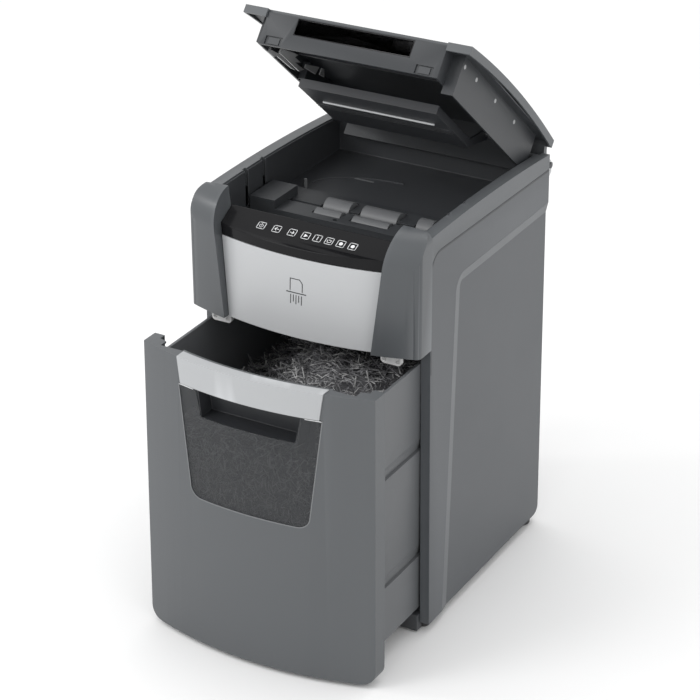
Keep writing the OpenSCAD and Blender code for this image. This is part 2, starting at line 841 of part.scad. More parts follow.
module lid_shell() {
    inner = concat([[lid_rear - wall, lip_z - 5]],
        arch([lid_rear - wall, lid_edge_z - wall], [lid_front + wall, lid_edge_z - wall], lid_rise, 20),
        [[lid_front + wall, lip_z - 5]]);
    color(body_color) lid_place() {
        difference() {
            side_profile(lid_outline, -lid_half, lid_half);
            side_profile(inner, -lid_half + wall, lid_half - wall);
            for (x = bracket_x)
                block([x - arm_half, lid_rear - 5, 0], [x + arm_half, lid_rear + 1, 27]);
            block([-nose_half - 0.5, lid_front - 1, 0], [nose_half + 0.5, lid_front + 6, 45]);
        }
        for (x = bracket_x)
            difference() {
                union() {
                    rod([0, 0], knuckle_r, x - arm_half, x + arm_half);
                    side_profile(arm_outline, x - arm_half, x + arm_half);
                }
                rod([0, 0], 3, x - 15, x + 15);
            }
    }
}

// Where the screw covers sit along the liner's sides, from the hinge forward.
dot_spots = [-119, -195, -268, -311];
dot_z = 14;

module lid_liner() {
    ceiling = flange_z - 1;
    color(dark_color) lid_place() difference() {
        union() {
            block([-liner_half, liner_front, liner_z], [liner_half, liner_rear, flange_z + 2]);
            block([-nose_half, nose_front, nose_z], [nose_half, liner_front + wall, flange_z + 2]);
            block([-lid_half + wall + gap, nose_front, flange_z], [lid_half - wall - gap, lid_rear - wall - 5, flange_z + 2]);
        }
        block([-liner_half + wall, liner_front + wall, liner_z - 1], [liner_half - wall, liner_rear - wall, ceiling]);
        block([-nose_half + wall, nose_front + wall, nose_z - 1], [nose_half - wall, liner_front + wall + 1, grip_z - wall]);
        block([-nose_half, liner_front - 1, liner_z - 1], [nose_half, liner_front + wall + 1, nose_z]);
        block([-liner_half - 1, liner_front - 1, liner_z - 1], [-nose_half, liner_rear + 1, -8]);
        block([-grip_half - gap, nose_front - 1, grip_z - gap],
            [grip_half + gap, nose_front + grip_depth + gap, flange_z + 0.3]);
        for (side = [-1, 1]) {
            block([side * magnet_x - 12.5, nose_front - 1, -16], [side * magnet_x + 12.5, nose_front + 2, -4]);
            for (y = dot_spots)
                rod([y, dot_z], 3, side * (liner_half - 0.4) - 0.6, side * (liner_half - 0.4) + 0.6);
        }
    }
}

module lid_grip() {
    color([0.04, 0.04, 0.05]) lid_place() difference() {
        block([-grip_half, nose_front, grip_z], [grip_half, nose_front + grip_depth, flange_z]);
        block([-grip_half + 1.5, nose_front - 1, grip_z + 1.5], [grip_half - 1.5, nose_front + grip_depth - 1.5, flange_z - 1.5]);
    }
}

module hinge_pins() {
    color(steel_color) lid_place()
        for (x = bracket_x) {
            rod([0, 0], 3, x - 24, x + 24);
            rod([0, 0], 4.5, x + 24, x + 26);
        }
}

module lid_screws() {
    color([0.80, 0.80, 0.81]) lid_place()
        for (side = [-1, 1])
            for (y = dot_spots)
                rod([y, dot_z], 2.9, side * liner_half - (side > 0 ? 0.9 : 0.4), side * liner_half + (side > 0 ? 0.4 : 0.9));
}

module lid_magnets() {
    color([0.50, 0.51, 0.52]) lid_place()
        for (side = [-1, 1])
            block([side * magnet_x - 8, nose_front + 0.8, -14.5], [side * magnet_x + 8, nose_front + 2, -5.5]);
}

plate_pivot = [-92, -2];
plate_half = 103;
plate_z = -37;
plate_t2 = 2.5;
plate_tip = -254;
plate_heel = -130;
rod_r = 1.4;

// The side view of the plate's side walls and of the arms that carry it.
arm_side = [[plate_tip, plate_z + plate_t2], [plate_heel, plate_z + plate_t2], [-112, -24], [-86, -8], [-86, 4],
    [-98, 4], [-118, -13], [-137, -26], [plate_tip, -26]];

module pressure_plate() {
    color([0.28, 0.29, 0.31]) lid_place() {
        block([-plate_half, plate_tip, plate_z], [plate_half, plate_heel, plate_z + plate_t2]);
        block([-plate_half, plate_tip, plate_z], [plate_half, plate_tip + plate_t2, -25]);
        for (side = [-1, 1])
            difference() {
                side_profile(arm_side, side * (plate_half - 1.5) - 1.5, side * (plate_half - 1.5) + 1.5);
                rod(plate_pivot, 3.05, side * plate_half - 8, side * plate_half + 8);
            }
    }
}

module plate_rod() {
    color(silver_color) lid_place() rod([-210, plate_z - rod_r], rod_r, -84, 83);
}

module plate_springs() {
    color(steel_color) lid_place()
        for (side = [-1, 1]) {
            rod(plate_pivot, 3, side * 110 - 12, side * 110 + 12);
            for (i = [0:4])
                translate([side * 112 - 4 + 2 * i, plate_pivot[0], plate_pivot[1]]) rotate([0, 90, 0])
                    rotate_extrude() translate([4.2, 0]) circle(r = 0.9);
            block([side > 0 ? 119 : -liner_half + wall, plate_pivot[0] - 4, -6],
                [side > 0 ? liner_half - wall : -119, plate_pivot[0] + 4, 4]);
        }
}

// ---- Bin ----

module bin_box() {
    color([0.40, 0.41, 0.42]) place() difference() {
        intersection() {
            bow(bin_y, wall + 1.5, bin_floor, bin_rim);
            block([-bin_half, -200, bin_floor], [bin_half, bin_back, bin_rim]);
        }
        intersection() {
            bow(bin_y, wall + 4.5, bin_floor, bin_rim + 1);
            block([-bin_half + 4, -200, bin_floor + wall], [bin_half - 4, bin_back - wall, bin_rim + 1]);
        }
        block([-112, -200, 220], [112, bin_y - 6, bin_rim + 1]);
        for (side = [-1, 1])
            for (z = [126, 288])
                translate([side * bin_half, 0, z]) rotate([0, side * 12, 0])
                    block([-2, bin_y + 30, -9], [2, bin_back - 20, 9]);
    }
}

panel_outline = concat([[-bin_panel_half_top, bin_panel_top]],
    arc(-bin_panel_half_bottom + 18, panel_bottom + 18, 18, 180, 270),
    arc(bin_panel_half_bottom - 18, panel_bottom + 18, 18, 270, 360),
    [[bin_panel_half_top, bin_panel_top]]);
panel_inner = concat([[-bin_panel_half_top + wall, bin_panel_top - wall]],
    arc(-bin_panel_half_bottom + 18, panel_bottom + 18, 15, 180, 270),
    arc(bin_panel_half_bottom - 18, panel_bottom + 18, 15, 270, 360),
    [[bin_panel_half_top - wall, bin_panel_top - wall]]);

// The handle's outline, drawn in by t.
function handle_outline(t) = [[-108 + t, bin_panel_top + (t > 0 ? 0 : 1)], [-103 + t, 388.4 + t],
    [103 - t, 388.4 + t], [108 - t, bin_panel_top + (t > 0 ? 0 : 1)]];

// The window's outline, drawn in by t.
function window_outline(t) = concat([[-106 + t, 388.4 - t]],
    arc(-72, 247, 18 - t, 188, 270, 8), arc(72, 247, 18 - t, 270, 352, 8), [[106 - t, 388.4 - t]]);

module bin_front() {
    back = bin_y + return_depth;
    color(body_color) place() bin_tilt() difference() {
        intersection() {
            bow(bin_y, 0, panel_bottom, bin_panel_top);
            front_profile(panel_outline, -200, back);
        }
        intersection() {
            bow(bin_y, wall, panel_bottom, bin_panel_top);
            front_profile(panel_inner, -200, back - wall);
        }
        intersection() {
            bow(bin_y, flange_depth, 0, 440);
            block([-155.5, -200, 0], [155.5, 0, 440]);
        }
        front_profile(window_outline(0), -200, bin_y - 3);
        for (side = [-1, 1])
            block([side * catch_x - 16.5, bin_y - 0.8, bin_panel_top - 16],
                [side * catch_x + 16.5, bin_y + 30, bin_panel_top + 2]);
        difference() {
            front_profile(handle_outline(0), -200, bin_y);
            bow(bin_y, 2.2, 370, bin_panel_top + 5);
        }
    }
}

module bin_handle() {
    color(silver_color) place() bin_tilt() difference() {
        intersection() {
            union() {
                front_profile(handle_outline(gap), -200, bin_y);
                block([-107.5, -200, bin_panel_top - 1], [107.5, bin_y + 20, bin_panel_top + 1.4]);
            }
            difference() {
                bow(bin_y, -1.5, 370, 430);
                bow(bin_y, handle_lip, 369, 431);
            }
        }
        bow(bin_y, 2, 369, bin_panel_top + 0.1);
    }
}

module bin_window() {
    color([0.22, 0.23, 0.25, 0.6]) place() bin_tilt() intersection() {
        front_profile(concat(window_outline(gap), [[78, 388.1], [70, 350], [-70, 350], [-78, 388.1]]),
            -200, bin_y - 3);
        difference() {
            bow(bin_y, 0.6, 200, 400);
            bow(bin_y, 3, 199, 401);
        }
    }
}

module bin_cup() {
    color([0.14, 0.15, 0.16]) place() bin_tilt() difference() {
        intersection() {
            bow(bin_y, 3.2, 340, 415);
            front_profile([[-81, 412], [-73, 346], [73, 346], [81, 412]], -200, bin_y + 6);
        }
        intersection() {
            bow(bin_y, 0, 340, 430);
            front_profile([[-78.5, 409.5], [-70.5, 348.5], [70.5, 348.5], [78.5, 409.5]], -200, bin_y + 3.5);
        }
    }
}

base_plate();
feet();
left_side_panel();
right_side_panel();
rear_panel();
top_frame();
left_cheek();
right_cheek();
silver_fascia();
control_panel();
control_board();
head_base();
paper_tray();
feed_housing();
left_head_plate();
right_head_plate();
tie_rods();
cutter_bushes();
front_cutter();
rear_cutter();
front_cutter_gear();
rear_cutter_gear();
front_stripper();
rear_stripper();
paper_chute();
front_feed_shaft();
rear_feed_shaft();
front_feed_rollers();
rear_feed_rollers();
front_feed_gear();
rear_feed_gear();
front_idler_gear();
rear_idler_gear();
reduction_gear();
motor_gear();
gear_axles();
motor_case();
motor_rotor();
power_board();
mains_inlet();
power_switch();
power_rocker();
bin_catches();
bin_runners();
hinge_brackets();
cabinet_screws();
lid_shell();
lid_liner();
lid_grip();
hinge_pins();
lid_screws();
lid_magnets();
pressure_plate();
plate_rod();
plate_springs();
bin_box();
bin_front();
bin_handle();
bin_window();
bin_cup();
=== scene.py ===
# Paper shredder: looks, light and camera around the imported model.
import json
import math
import random
import bpy
import bmesh
from mathutils import Matrix, Vector


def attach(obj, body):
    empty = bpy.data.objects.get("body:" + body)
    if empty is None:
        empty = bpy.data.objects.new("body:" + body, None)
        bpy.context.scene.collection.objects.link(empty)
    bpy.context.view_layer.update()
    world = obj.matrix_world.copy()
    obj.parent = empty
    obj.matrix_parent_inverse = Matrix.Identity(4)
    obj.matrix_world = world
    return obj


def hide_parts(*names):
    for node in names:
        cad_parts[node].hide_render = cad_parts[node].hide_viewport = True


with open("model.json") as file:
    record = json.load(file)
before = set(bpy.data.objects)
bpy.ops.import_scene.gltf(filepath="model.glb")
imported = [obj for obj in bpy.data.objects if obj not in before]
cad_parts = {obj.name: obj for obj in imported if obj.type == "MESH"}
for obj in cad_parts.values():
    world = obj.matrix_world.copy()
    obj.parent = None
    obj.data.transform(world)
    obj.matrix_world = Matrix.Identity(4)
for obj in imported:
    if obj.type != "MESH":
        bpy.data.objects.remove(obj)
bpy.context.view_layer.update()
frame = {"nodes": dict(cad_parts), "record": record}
scene = bpy.context.scene
rng = random.Random(11)

# Lengths in mm, in the cabinet frame: X to the right, the front faces -Y, Z is 0 on the floor.
HINGE_Y = 352.0
HINGE_Z = 555.0
LID_OPEN = math.radians(40.5)
FOOT_HEIGHT = 14.0
CABINET_HALF = 172.3
CABINET_DRAFT = 3.7 / 546
CABINET_REAR = 342.6
TRAY_FLOOR = 526.05
SILL_TOP = 540.6
BOW_R = 500.0
BOW_HALF = 171.0
BIN_Y = -147.2
BIN_LEAN = math.radians(-0.72)
PANEL_TOP = 424.6
POST_Y = -31.7
FASCIA_FOOT = 429.0
FASCIA_LEAN = math.radians(-3)
REACH = math.sqrt(BOW_R ** 2 - BOW_HALF ** 2)

joints = {j["name"]: j for j in frame["record"]["behaviour"]["joints"]}
shift_y = joints["lid_hinge"]["pos_m"][1] - HINGE_Y / 1000


def cab(x, y, z):
    """A point in the cabinet frame, in mm, as a point in the row frame, in metres."""
    return Vector((x / 1000, y / 1000 + shift_y, z / 1000))


def lid(x, y, z):
    """A point beside the hinge with the lid level, in mm, on the open lid."""
    c, s = math.cos(LID_OPEN), math.sin(LID_OPEN)
    return cab(x, HINGE_Y + y * c + z * s, HINGE_Z - y * s + z * c)


def bow_y(corner_y, x, inset=0.0):
    """Where the bowed front lies at x, moved back by inset."""
    return corner_y + REACH - math.sqrt((BOW_R - inset) ** 2 - x * x)


def on_bin(x, z, inset=0.0):
    """A point on the bin's bowed front, which leans forward at its foot."""
    y, dz = bow_y(BIN_Y, x, inset) - BIN_Y, z - PANEL_TOP
    c, s = math.cos(BIN_LEAN), math.sin(BIN_LEAN)
    return cab(x, BIN_Y + y * c - dz * s, PANEL_TOP + y * s + dz * c)


def on_circle(cy, cz, ry, rz, angles):
    """Points of an ellipse about (cy, cz), at angles in degrees."""
    return [(cy + ry * math.cos(math.radians(a)), cz + rz * math.sin(math.radians(a))) for a in angles]


def spread(a, b, n):
    """n + 1 evenly spaced values from a to b."""
    return [a + (b - a) * k / n for k in range(n + 1)]


# ---- Materials ----

COAT_ROUGHNESS = 0.08
GRAIN_DEPTH = 0.0003
EDGE_FROM = 0.52
EDGE_TO = 0.60


def plastic(name, color, rough, grain=2600, bump=0.05, coat=0.0, tone=0.06, spec=0.5, edge_wear_and_highlight=0.25, alpha=1.0):
    """Moulded plastic or paint: fine grain, slow changes of tone and roughness, and paler edges, which are
    edge wear at small values and a painted highlight along the edges at large values.
    """
    m = bpy.data.materials.new(name)
    m.use_nodes = True
    n, l = m.node_tree.nodes, m.node_tree.links
    b = n["Principled BSDF"]
    b.inputs["Specular IOR Level"].default_value = spec
    b.inputs["Coat Weight"].default_value = coat
    b.inputs["Coat Roughness"].default_value = COAT_ROUGHNESS
    b.inputs["Alpha"].default_value = alpha
    co = n.new("ShaderNodeTexCoord")
    slow = n.new("ShaderNodeTexNoise")
    slow.inputs["Scale"].default_value = 9
    slow.inputs["Detail"].default_value = 5
    fine = n.new("ShaderNodeTexNoise")
    fine.inputs["Scale"].default_value = grain
    fine.inputs["Detail"].default_value = 2
    for t in (slow, fine):
        l.new(co.outputs["Object"], t.inputs["Vector"])
    ramp = n.new("ShaderNodeMapRange")
    ramp.inputs["To Min"].default_value = 1 - tone
    ramp.inputs["To Max"].default_value = 1 + tone
    l.new(slow.outputs["Fac"], ramp.inputs["Value"])
    tint = n.new("ShaderNodeVectorMath")
    tint.operation = "SCALE"
    tint.inputs[0].default_value = color
    l.new(ramp.outputs["Result"], tint.inputs["Scale"])
    # Convex edges turn paler: edge wear, and at large values a painted highlight along the edges.
    geo = n.new("ShaderNodeNewGeometry")
    edge = n.new("ShaderNodeMapRange")
    edge.inputs["From Min"].default_value = EDGE_FROM
    edge.inputs["From Max"].default_value = EDGE_TO
    edge.inputs["To Max"].default_value = edge_wear_and_highlight
    l.new(geo.outputs["Pointiness"], edge.inputs["Value"])
    mix = n.new("ShaderNodeMix")
    mix.data_type = "RGBA"
    mix.inputs["B"].default_value = (*[min(1.0, c * 1.6 + 0.04) for c in color], 1)
    l.new(edge.outputs["Result"], mix.inputs["Factor"])
    l.new(tint.outputs["Vector"], mix.inputs["A"])
    l.new(mix.outputs["Result"], b.inputs["Base Color"])
    rr = n.new("ShaderNodeMapRange")
    rr.inputs["To Min"].default_value = max(0.02, rough - 0.06)
    rr.inputs["To Max"].default_value = rough + 0.06
    l.new(slow.outputs["Fac"], rr.inputs["Value"])
    l.new(rr.outputs["Result"], b.inputs["Roughness"])
    if bump:
        bp = n.new("ShaderNodeBump")
        bp.inputs["Strength"].default_value = bump
        bp.inputs["Distance"].default_value = GRAIN_DEPTH
        l.new(fine.outputs["Fac"], bp.inputs["Height"])
        l.new(bp.outputs["Normal"], b.inputs["Normal"])
    return m


def metal(name, color, rough, stretch=(1, 1, 1), grain=400, bump=0.04, metallic=1.0):
    """Ground or plated metal with fine lines along one axis."""
    m = bpy.data.materials.new(name)
    m.use_nodes = True
    n, l = m.node_tree.nodes, m.node_tree.links
    b = n["Principled BSDF"]
    b.inputs["Metallic"].default_value = metallic
    co = n.new("ShaderNodeTexCoord")
    mp = n.new("ShaderNodeMapping")
    mp.inputs["Scale"].default_value = stretch
    l.new(co.outputs["Object"], mp.inputs["Vector"])
    t = n.new("ShaderNodeTexNoise")
    t.inputs["Scale"].default_value = grain
    t.inputs["Detail"].default_value = 4
    l.new(mp.outputs["Vector"], t.inputs["Vector"])
    cr = n.new("ShaderNodeValToRGB")
    cr.color_ramp.elements[0].color = (*[c * 0.8 for c in color], 1)
    cr.color_ramp.elements[1].color = (*[min(1, c * 1.12) for c in color], 1)
    l.new(t.outputs["Fac"], cr.inputs["Fac"])
    l.new(cr.outputs["Color"], b.inputs["Base Color"])
    rr = n.new("ShaderNodeMapRange")
    rr.inputs["To Min"].default_value = rough * 0.75
    rr.inputs["To Max"].default_value = rough * 1.3
    l.new(t.outputs["Fac"], rr.inputs["Value"])
    l.new(rr.outputs["Result"], b.inputs["Roughness"])
    bp = n.new("ShaderNodeBump")
    bp.inputs["Strength"].default_value = bump
    bp.inputs["Distance"].default_value = GRAIN_DEPTH
    l.new(t.outputs["Fac"], bp.inputs["Height"])
    l.new(bp.outputs["Normal"], b.inputs["Normal"])
    return m


mats = {
    "body_grey": plastic("body_grey", (0.086, 0.092, 0.098), 0.42, bump=0.10, tone=0.03),
    "dark_grey": plastic("dark_grey", (0.052, 0.055, 0.060), 0.48, bump=0.10),
    "silver": plastic("silver", (0.50, 0.51, 0.52), 0.36, grain=4200, bump=0.04, tone=0.02, edge_wear_and_highlight=0.1),
    "gloss_black": plastic("gloss_black", (0.012, 0.012, 0.014), 0.10, bump=0.0, coat=0.6, tone=0.1,
                           edge_wear_and_highlight=0.1),
    "black_plastic": plastic("black_plastic", (0.018, 0.018, 0.019), 0.45, bump=0.10),
    "smoked_window": plastic("smoked_window", (0.038, 0.041, 0.045), 0.12, bump=0.0, edge_wear_and_highlight=0.0, alpha=0.50),
    "steel": metal("steel", (0.55, 0.56, 0.57), 0.30, (40, 1, 1)),
    "cutter_steel": metal("cutter_steel", (0.42, 0.43, 0.44), 0.28, (1, 12, 12)),
    "bronze": metal("bronze", (0.55, 0.38, 0.16), 0.35),
    "motor_metal": metal("motor_metal", (0.20, 0.205, 0.21), 0.40, metallic=0.6),
    "gear_plastic": plastic("gear_plastic", (0.62, 0.60, 0.52), 0.42, bump=0.05),
    "roller_rubber": plastic("roller_rubber", (0.14, 0.144, 0.15), 0.42, bump=0.12, edge_wear_and_highlight=0.1),
    "board_green": plastic("board_green", (0.02, 0.12, 0.06), 0.30, grain=900, bump=0.15, coat=0.3),
    "catch_white": plastic("catch_white", (0.72, 0.72, 0.72), 0.35, bump=0.04, tone=0.02),
    "rocker_red": plastic("rocker_red", (0.45, 0.02, 0.015), 0.20, bump=0.02, coat=0.4),
}
# White print, also used for the painted highlights beside the finger pocket.
print_and_highlight_white = plastic("print_and_highlight_white", (0.80, 0.81, 0.82), 0.45, bump=0.02, tone=0.02, edge_wear_and_highlight=0.0)
# Near-black print, also used for the painted shadow along the side seams.
print_and_shadow_dark = plastic("print_and_shadow_dark", (0.03, 0.032, 0.035), 0.4, bump=0.02, tone=0.02, edge_wear_and_highlight=0.0)
# A lighter copy of the body grey for the bin box: painted light that lifts the shade inside the bin.
bin_inside_painted_light = plastic("bin_inside_painted_light", (0.110, 0.115, 0.121), 0.46, bump=0.10, tone=0.04)
liner_grey = plastic("liner_grey", (0.031, 0.034, 0.038), 0.44, bump=0.10, tone=0.04)
panel_black = plastic("panel_black", (0.009, 0.009, 0.010), 0.14, bump=0.02, tone=0.05, edge_wear_and_highlight=0.1, spec=0.15)
housing_grey = plastic("housing_grey", (0.036, 0.039, 0.043), 0.46, bump=0.10, tone=0.05)
plate_and_pocket_shade_dark = plastic("plate_and_pocket_shade_dark", (0.030, 0.032, 0.036), 0.42, bump=0.10, tone=0.04)
# A darker copy of the body grey for the side panels: painted shade.
side_painted_shade_grey = plastic("side_painted_shade_grey", (0.073, 0.079, 0.086), 0.42, bump=0.10, tone=0.03)
# The cheeks: a darker copy of the body grey as painted shade, with strongly paler edges as painted highlight
# lines.
cheek_shade_and_highlight_grey = plastic("cheek_shade_and_highlight_grey", (0.074, 0.080, 0.086), 0.34, bump=0.08, tone=0.03, edge_wear_and_highlight=0.9)
# A lighter copy of the body grey for the recess slopes: painted light on the slopes that face the lamps.
slope_painted_light_grey = plastic("slope_painted_light_grey", (0.093, 0.099, 0.106), 0.42, bump=0.10, tone=0.03)
lever_grey = plastic("lever_grey", (0.36, 0.365, 0.37), 0.40, bump=0.06, tone=0.05)
cover_grey = plastic("cover_grey", (0.34, 0.345, 0.35), 0.40, bump=0.04, tone=0.03)
# Pale grey for small parts, also the painted highlight round the window.
pale_grey_and_highlight = plastic("pale_grey_and_highlight", (0.15, 0.155, 0.16), 0.36, bump=0.04, tone=0.04)
handle_silver = plastic("handle_silver", (0.425, 0.435, 0.445), 0.58, grain=4200, bump=0.04, tone=0.02,
                        spec=0.2, edge_wear_and_highlight=0.3)

slot_of = {r["node"]: r["material_slot"] for r in frame["record"]["subparts"]}
body_of = {n: b for b, ns in frame["record"]["behaviour"]["bodies"].items() for n in ns}
look = {n: mats[s] for n, s in slot_of.items()}
look.update({
    "bin_box": bin_inside_painted_light, "lid_liner": liner_grey, "lid_magnets": liner_grey, "lid_screws": cover_grey,
    "control_panel": panel_black, "bin_handle": handle_silver, "feed_housing": housing_grey,
    # The cup behind the finger pocket takes the dark plate colour: painted shade in the pocket.
    "pressure_plate": plate_and_pocket_shade_dark, "bin_cup": plate_and_pocket_shade_dark, "hinge_pins": plate_and_pocket_shade_dark,
    "left_side_panel": side_painted_shade_grey, "right_side_panel": side_painted_shade_grey,
    "left_cheek": cheek_shade_and_highlight_grey, "right_cheek": cheek_shade_and_highlight_grey,
})


def paint(o, mat):
    """Gives a piece one material."""
    o.data.materials.clear()
    o.data.materials.append(mat)


for name, o in frame["nodes"].items():
    for s in o.material_slots:
        s.material = look[name]
    if not o.material_slots:
        o.data.materials.append(look[name])

# ---- Pieces ----

SHARP = math.radians(32)
FLAT = math.radians(0.4)
SAME_SIZE = 0.03
UNMERGED = {"bin_box", "bin_handle"}
WIDE_FLATS = {"left_side_panel", "right_side_panel", "rear_panel"}
SOFT_EDGES = {
    "left_side_panel": 1.6, "right_side_panel": 1.6, "rear_panel": 0.8, "top_frame": 1.8,
    "left_cheek": 2.6, "right_cheek": 2.6, "silver_fascia": 0.7, "control_panel": 1.2,
    "paper_tray": 1.2, "feed_housing": 1.6, "lid_shell": 1.6, "lid_liner": 1.4, "lid_grip": 0.8,
    "pressure_plate": 0.8, "bin_box": 1.2, "bin_front": 1.5, "bin_handle": 0.7, "bin_window": 0.6,
    "bin_cup": 1.0, "base_plate": 1.0, "bin_catches": 0.7, "mains_inlet": 0.7, "power_switch": 0.7,
    "power_rocker": 0.5, "hinge_brackets": 0.6, "feet": 0.5, "bin_runners": 0.8, "head_base": 0.6,
}


def add_object(name, mesh, mat, body):
    """A new piece that rides on a body."""
    o = bpy.data.objects.new(name, mesh)
    scene.collection.objects.link(o)
    paint(o, mat)
    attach(o, body)
    return o


def soften(o, width, segments=3):
    """Rounds the sharp edges of a piece and shades it smoothly."""
    mod = o.modifiers.new("edge", "BEVEL")
    mod.width = width / 1000
    mod.segments = segments
    mod.limit_method = "ANGLE"
    mod.angle_limit = SHARP
    mod.harden_normals = True
    mod.use_clamp_overlap = True
    mod.miter_outer = "MITER_ARC"
    for p in o.data.polygons:
        p.use_smooth = True
    o.data.set_sharp_from_angle(angle=SHARP)


def measure(mesh):
    """The surface area and volume of a mesh, in mm2 and mm3."""
    bm = bmesh.new()
    bm.from_mesh(mesh)
    out = sum(f.calc_area() for f in bm.faces) * 1e6, abs(bm.calc_volume()) * 1e9
    bm.free()
    return out


def node_copy(node, merge):
    """A CAD node's mesh with its split points joined, and its flat faces merged where merge is true."""
    bm = bmesh.new()
    bm.from_mesh(frame["nodes"][node].data)
    bmesh.ops.remove_doubles(bm, verts=bm.verts, dist=2e-6)
    if merge:
        bmesh.ops.dissolve_limit(bm, angle_limit=FLAT, verts=bm.verts, edges=bm.edges)
    mesh = bpy.data.meshes.new(node + "_fine")
    bm.to_mesh(mesh)
    bm.free()
    return mesh


def refine(node, width):
    """A copy of a CAD node with rounded edges, shown instead of it.

    Where rounding would change the node's area or volume, the copy is rounded less, or not at all.
    """
    area0, volume0 = measure(node_copy(node, False))
    for merge, w in ((node not in UNMERGED, width), (False, width), (False, width / 3), (False, 0)):
        test = bpy.data.objects.new("test", node_copy(node, merge))
        scene.collection.objects.link(test)
        if w:
            soften(test, w)
        bpy.context.view_layer.update()
        area1, volume1 = measure(test.evaluated_get(bpy.context.evaluated_depsgraph_get()).data)
        bpy.data.objects.remove(test)
        if abs(area1 / area0 - 1) < SAME_SIZE and abs(volume1 / volume0 - 1) < SAME_SIZE:
            break
    o = add_object(node + "_fine", node_copy(node, merge), look[node], body_of[node])
    if w:
        soften(o, w)
    if node in WIDE_FLATS:
        o.modifiers["edge"].harden_normals = False
        even = o.modifiers.new("even", "WEIGHTED_NORMAL")
        even.weight = 100
        even.keep_sharp = True
    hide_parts(node)


for node, width in SOFT_EDGES.items():
    refine(node, width)


def mesh_from(faces_of_points):
    """A mesh from a list of polygons, each a list of points."""
    verts, faces = [], []
    for poly in faces_of_points:
        faces.append(list(range(len(verts), len(verts) + len(poly))))
        verts += [tuple(p) for p in poly]
    mesh = bpy.data.meshes.new("m")
    mesh.from_pydata(verts, [], faces)
    mesh.update()
    return mesh


def prism(points_low, points_high):
    """Polygons of a solid between two outlines with as many points."""
    n = len(points_low)
    polys = [list(reversed(points_low)), list(points_high)]
    for i in range(n):
        j = (i + 1) % n
        polys.append([points_low[i], points_low[j], points_high[j], points_high[i]])
    return polys


def solid(name, polys, mat, body, edge=0.0):
    """A piece made of closed groups of polygons, with its edges rounded by edge mm."""
    mesh = mesh_from(polys)
    bm = bmesh.new()
    bm.from_mesh(mesh)
    bmesh.ops.remove_doubles(bm, verts=bm.verts, dist=1e-6)
    bmesh.ops.recalc_face_normals(bm, faces=bm.faces)
    bm.to_mesh(mesh)
    bm.free()
    o = add_object(name, mesh, mat, body)
    if edge:
        soften(o, edge, 2)


def brick(place, a, b):
    """The polygons of a box between the corners a and b, put in place."""
    corners = ((a[0], a[1]), (b[0], a[1]), (b[0], b[1]), (a[0], b[1]))
    return prism([place(x, y, a[2]) for x, y in corners], [place(x, y, b[2]) for x, y in corners])


# ---- Control symbols ----

PANEL_A = (1.3, 569.0)
PANEL_B = (-30.5, 555.0)
PANEL_MIDDLE = 0.42
PRINT = (0.02, 0.22)


def on_panel(u, v, lift):
    """A point on the control ledge: u across, v up the slope from its middle, both in mm."""
    dy, dz = PANEL_A[0] - PANEL_B[0], PANEL_A[1] - PANEL_B[1]
    size = math.hypot(dy, dz)
    t = PANEL_MIDDLE + v / size
    return cab(u, PANEL_B[0] + dy * t - lift * dz / size, PANEL_B[1] + dz * t + lift * dy / size)


def stroke(points, width, place, closed=False, lift=PRINT):
    """A flat line through 2-D points, as thin solid pieces."""
    polys = []
    n = len(points)
    for i in range(n if closed else n - 1):
        (x0, y0), (x1, y1) = points[i], points[(i + 1) % n]
        d = math.hypot(x1 - x0, y1 - y0) or 1
        ox, oy = -(y1 - y0) / d * width / 2, (x1 - x0) / d * width / 2
        ex, ey = (x1 - x0) / d * width / 2, (y1 - y0) / d * width / 2
        quad = [(x0 - ex + ox, y0 - ey + oy), (x0 - ex - ox, y0 - ey - oy),
                (x1 + ex - ox, y1 + ey - oy), (x1 + ex + ox, y1 + ey + oy)]
        polys += prism([place(u, v, lift[0]) for u, v in quad], [place(u, v, lift[1]) for u, v in quad])
    return polys


def patch(points, place, lift=PRINT):
    """A flat filled outline."""
    return prism([place(u, v, lift[0]) for u, v in points], [place(u, v, lift[1]) for u, v in points])


def rounded(h, r):
    """The outline of a square with rounded corners, h from its middle to its sides."""
    pts = []
    for sx, sy, a in ((1, 1, 0), (-1, 1, 90), (-1, -1, 180), (1, -1, 270)):
        pts += on_circle(sx * (h - r), sy * (h - r), r, r, spread(a, a + 90, 3))
    return pts


# Each key's symbol: its open lines, each with a width, and its filled outline
POWER_RING = on_circle(0, -0.3, 2.6, 2.6, spread(125, 415, 14))
SYMBOLS = [
    ([(POWER_RING, 0.7), ([(0, 0.4), (0, 3.2)], 0.7)], None),
    ([([(2.8, 0), (-2.6, 0)], 0.8), ([(-0.4, 2.4), (-2.8, 0), (-0.4, -2.4)], 0.8)], None),
    ([([(-2.8, 0), (2.6, 0)], 0.8), ([(0.4, 2.4), (2.8, 0), (0.4, -2.4)], 0.8)], None),
    ([], [(-2.2, -2.8), (2.9, 0), (-2.2, 2.8)]),
    ([([(0, -2.8), (0, 2.8)], 0.9)], None),
    ([([(-2.8, 1.6), (-2.2, -2.4), (2.2, -2.4), (2.8, 1.6)], 0.7), ([(-1, 1.8), (1, 1.8)], 0.8)], None),
    ([], on_circle(0, 0, 2.7, 2.7, spread(0, 342, 17))),
    ([], on_circle(0, 0, 2.7, 2.7, spread(0, 342, 17))),
]
ICON_X = [-67.5 + 23 * i for i in range(3)] + [-1.2 + 17.2 * i for i in range(5)]
ICON_DROP = 3.4
glyphs = []
for cx, (lines, filled) in zip(ICON_X, SYMBOLS):
    def at(u, v, lift, cx=cx):
        return on_panel(cx + u, v - ICON_DROP, lift)
    glyphs += stroke(rounded(5.4, 1.4), 0.75, at, closed=True)
    for line, width in lines:
        glyphs += stroke(line, width, at)
    if filled:
        glyphs += patch(filled, at)
solid("key_symbols", glyphs, print_and_highlight_white, "cabinet")


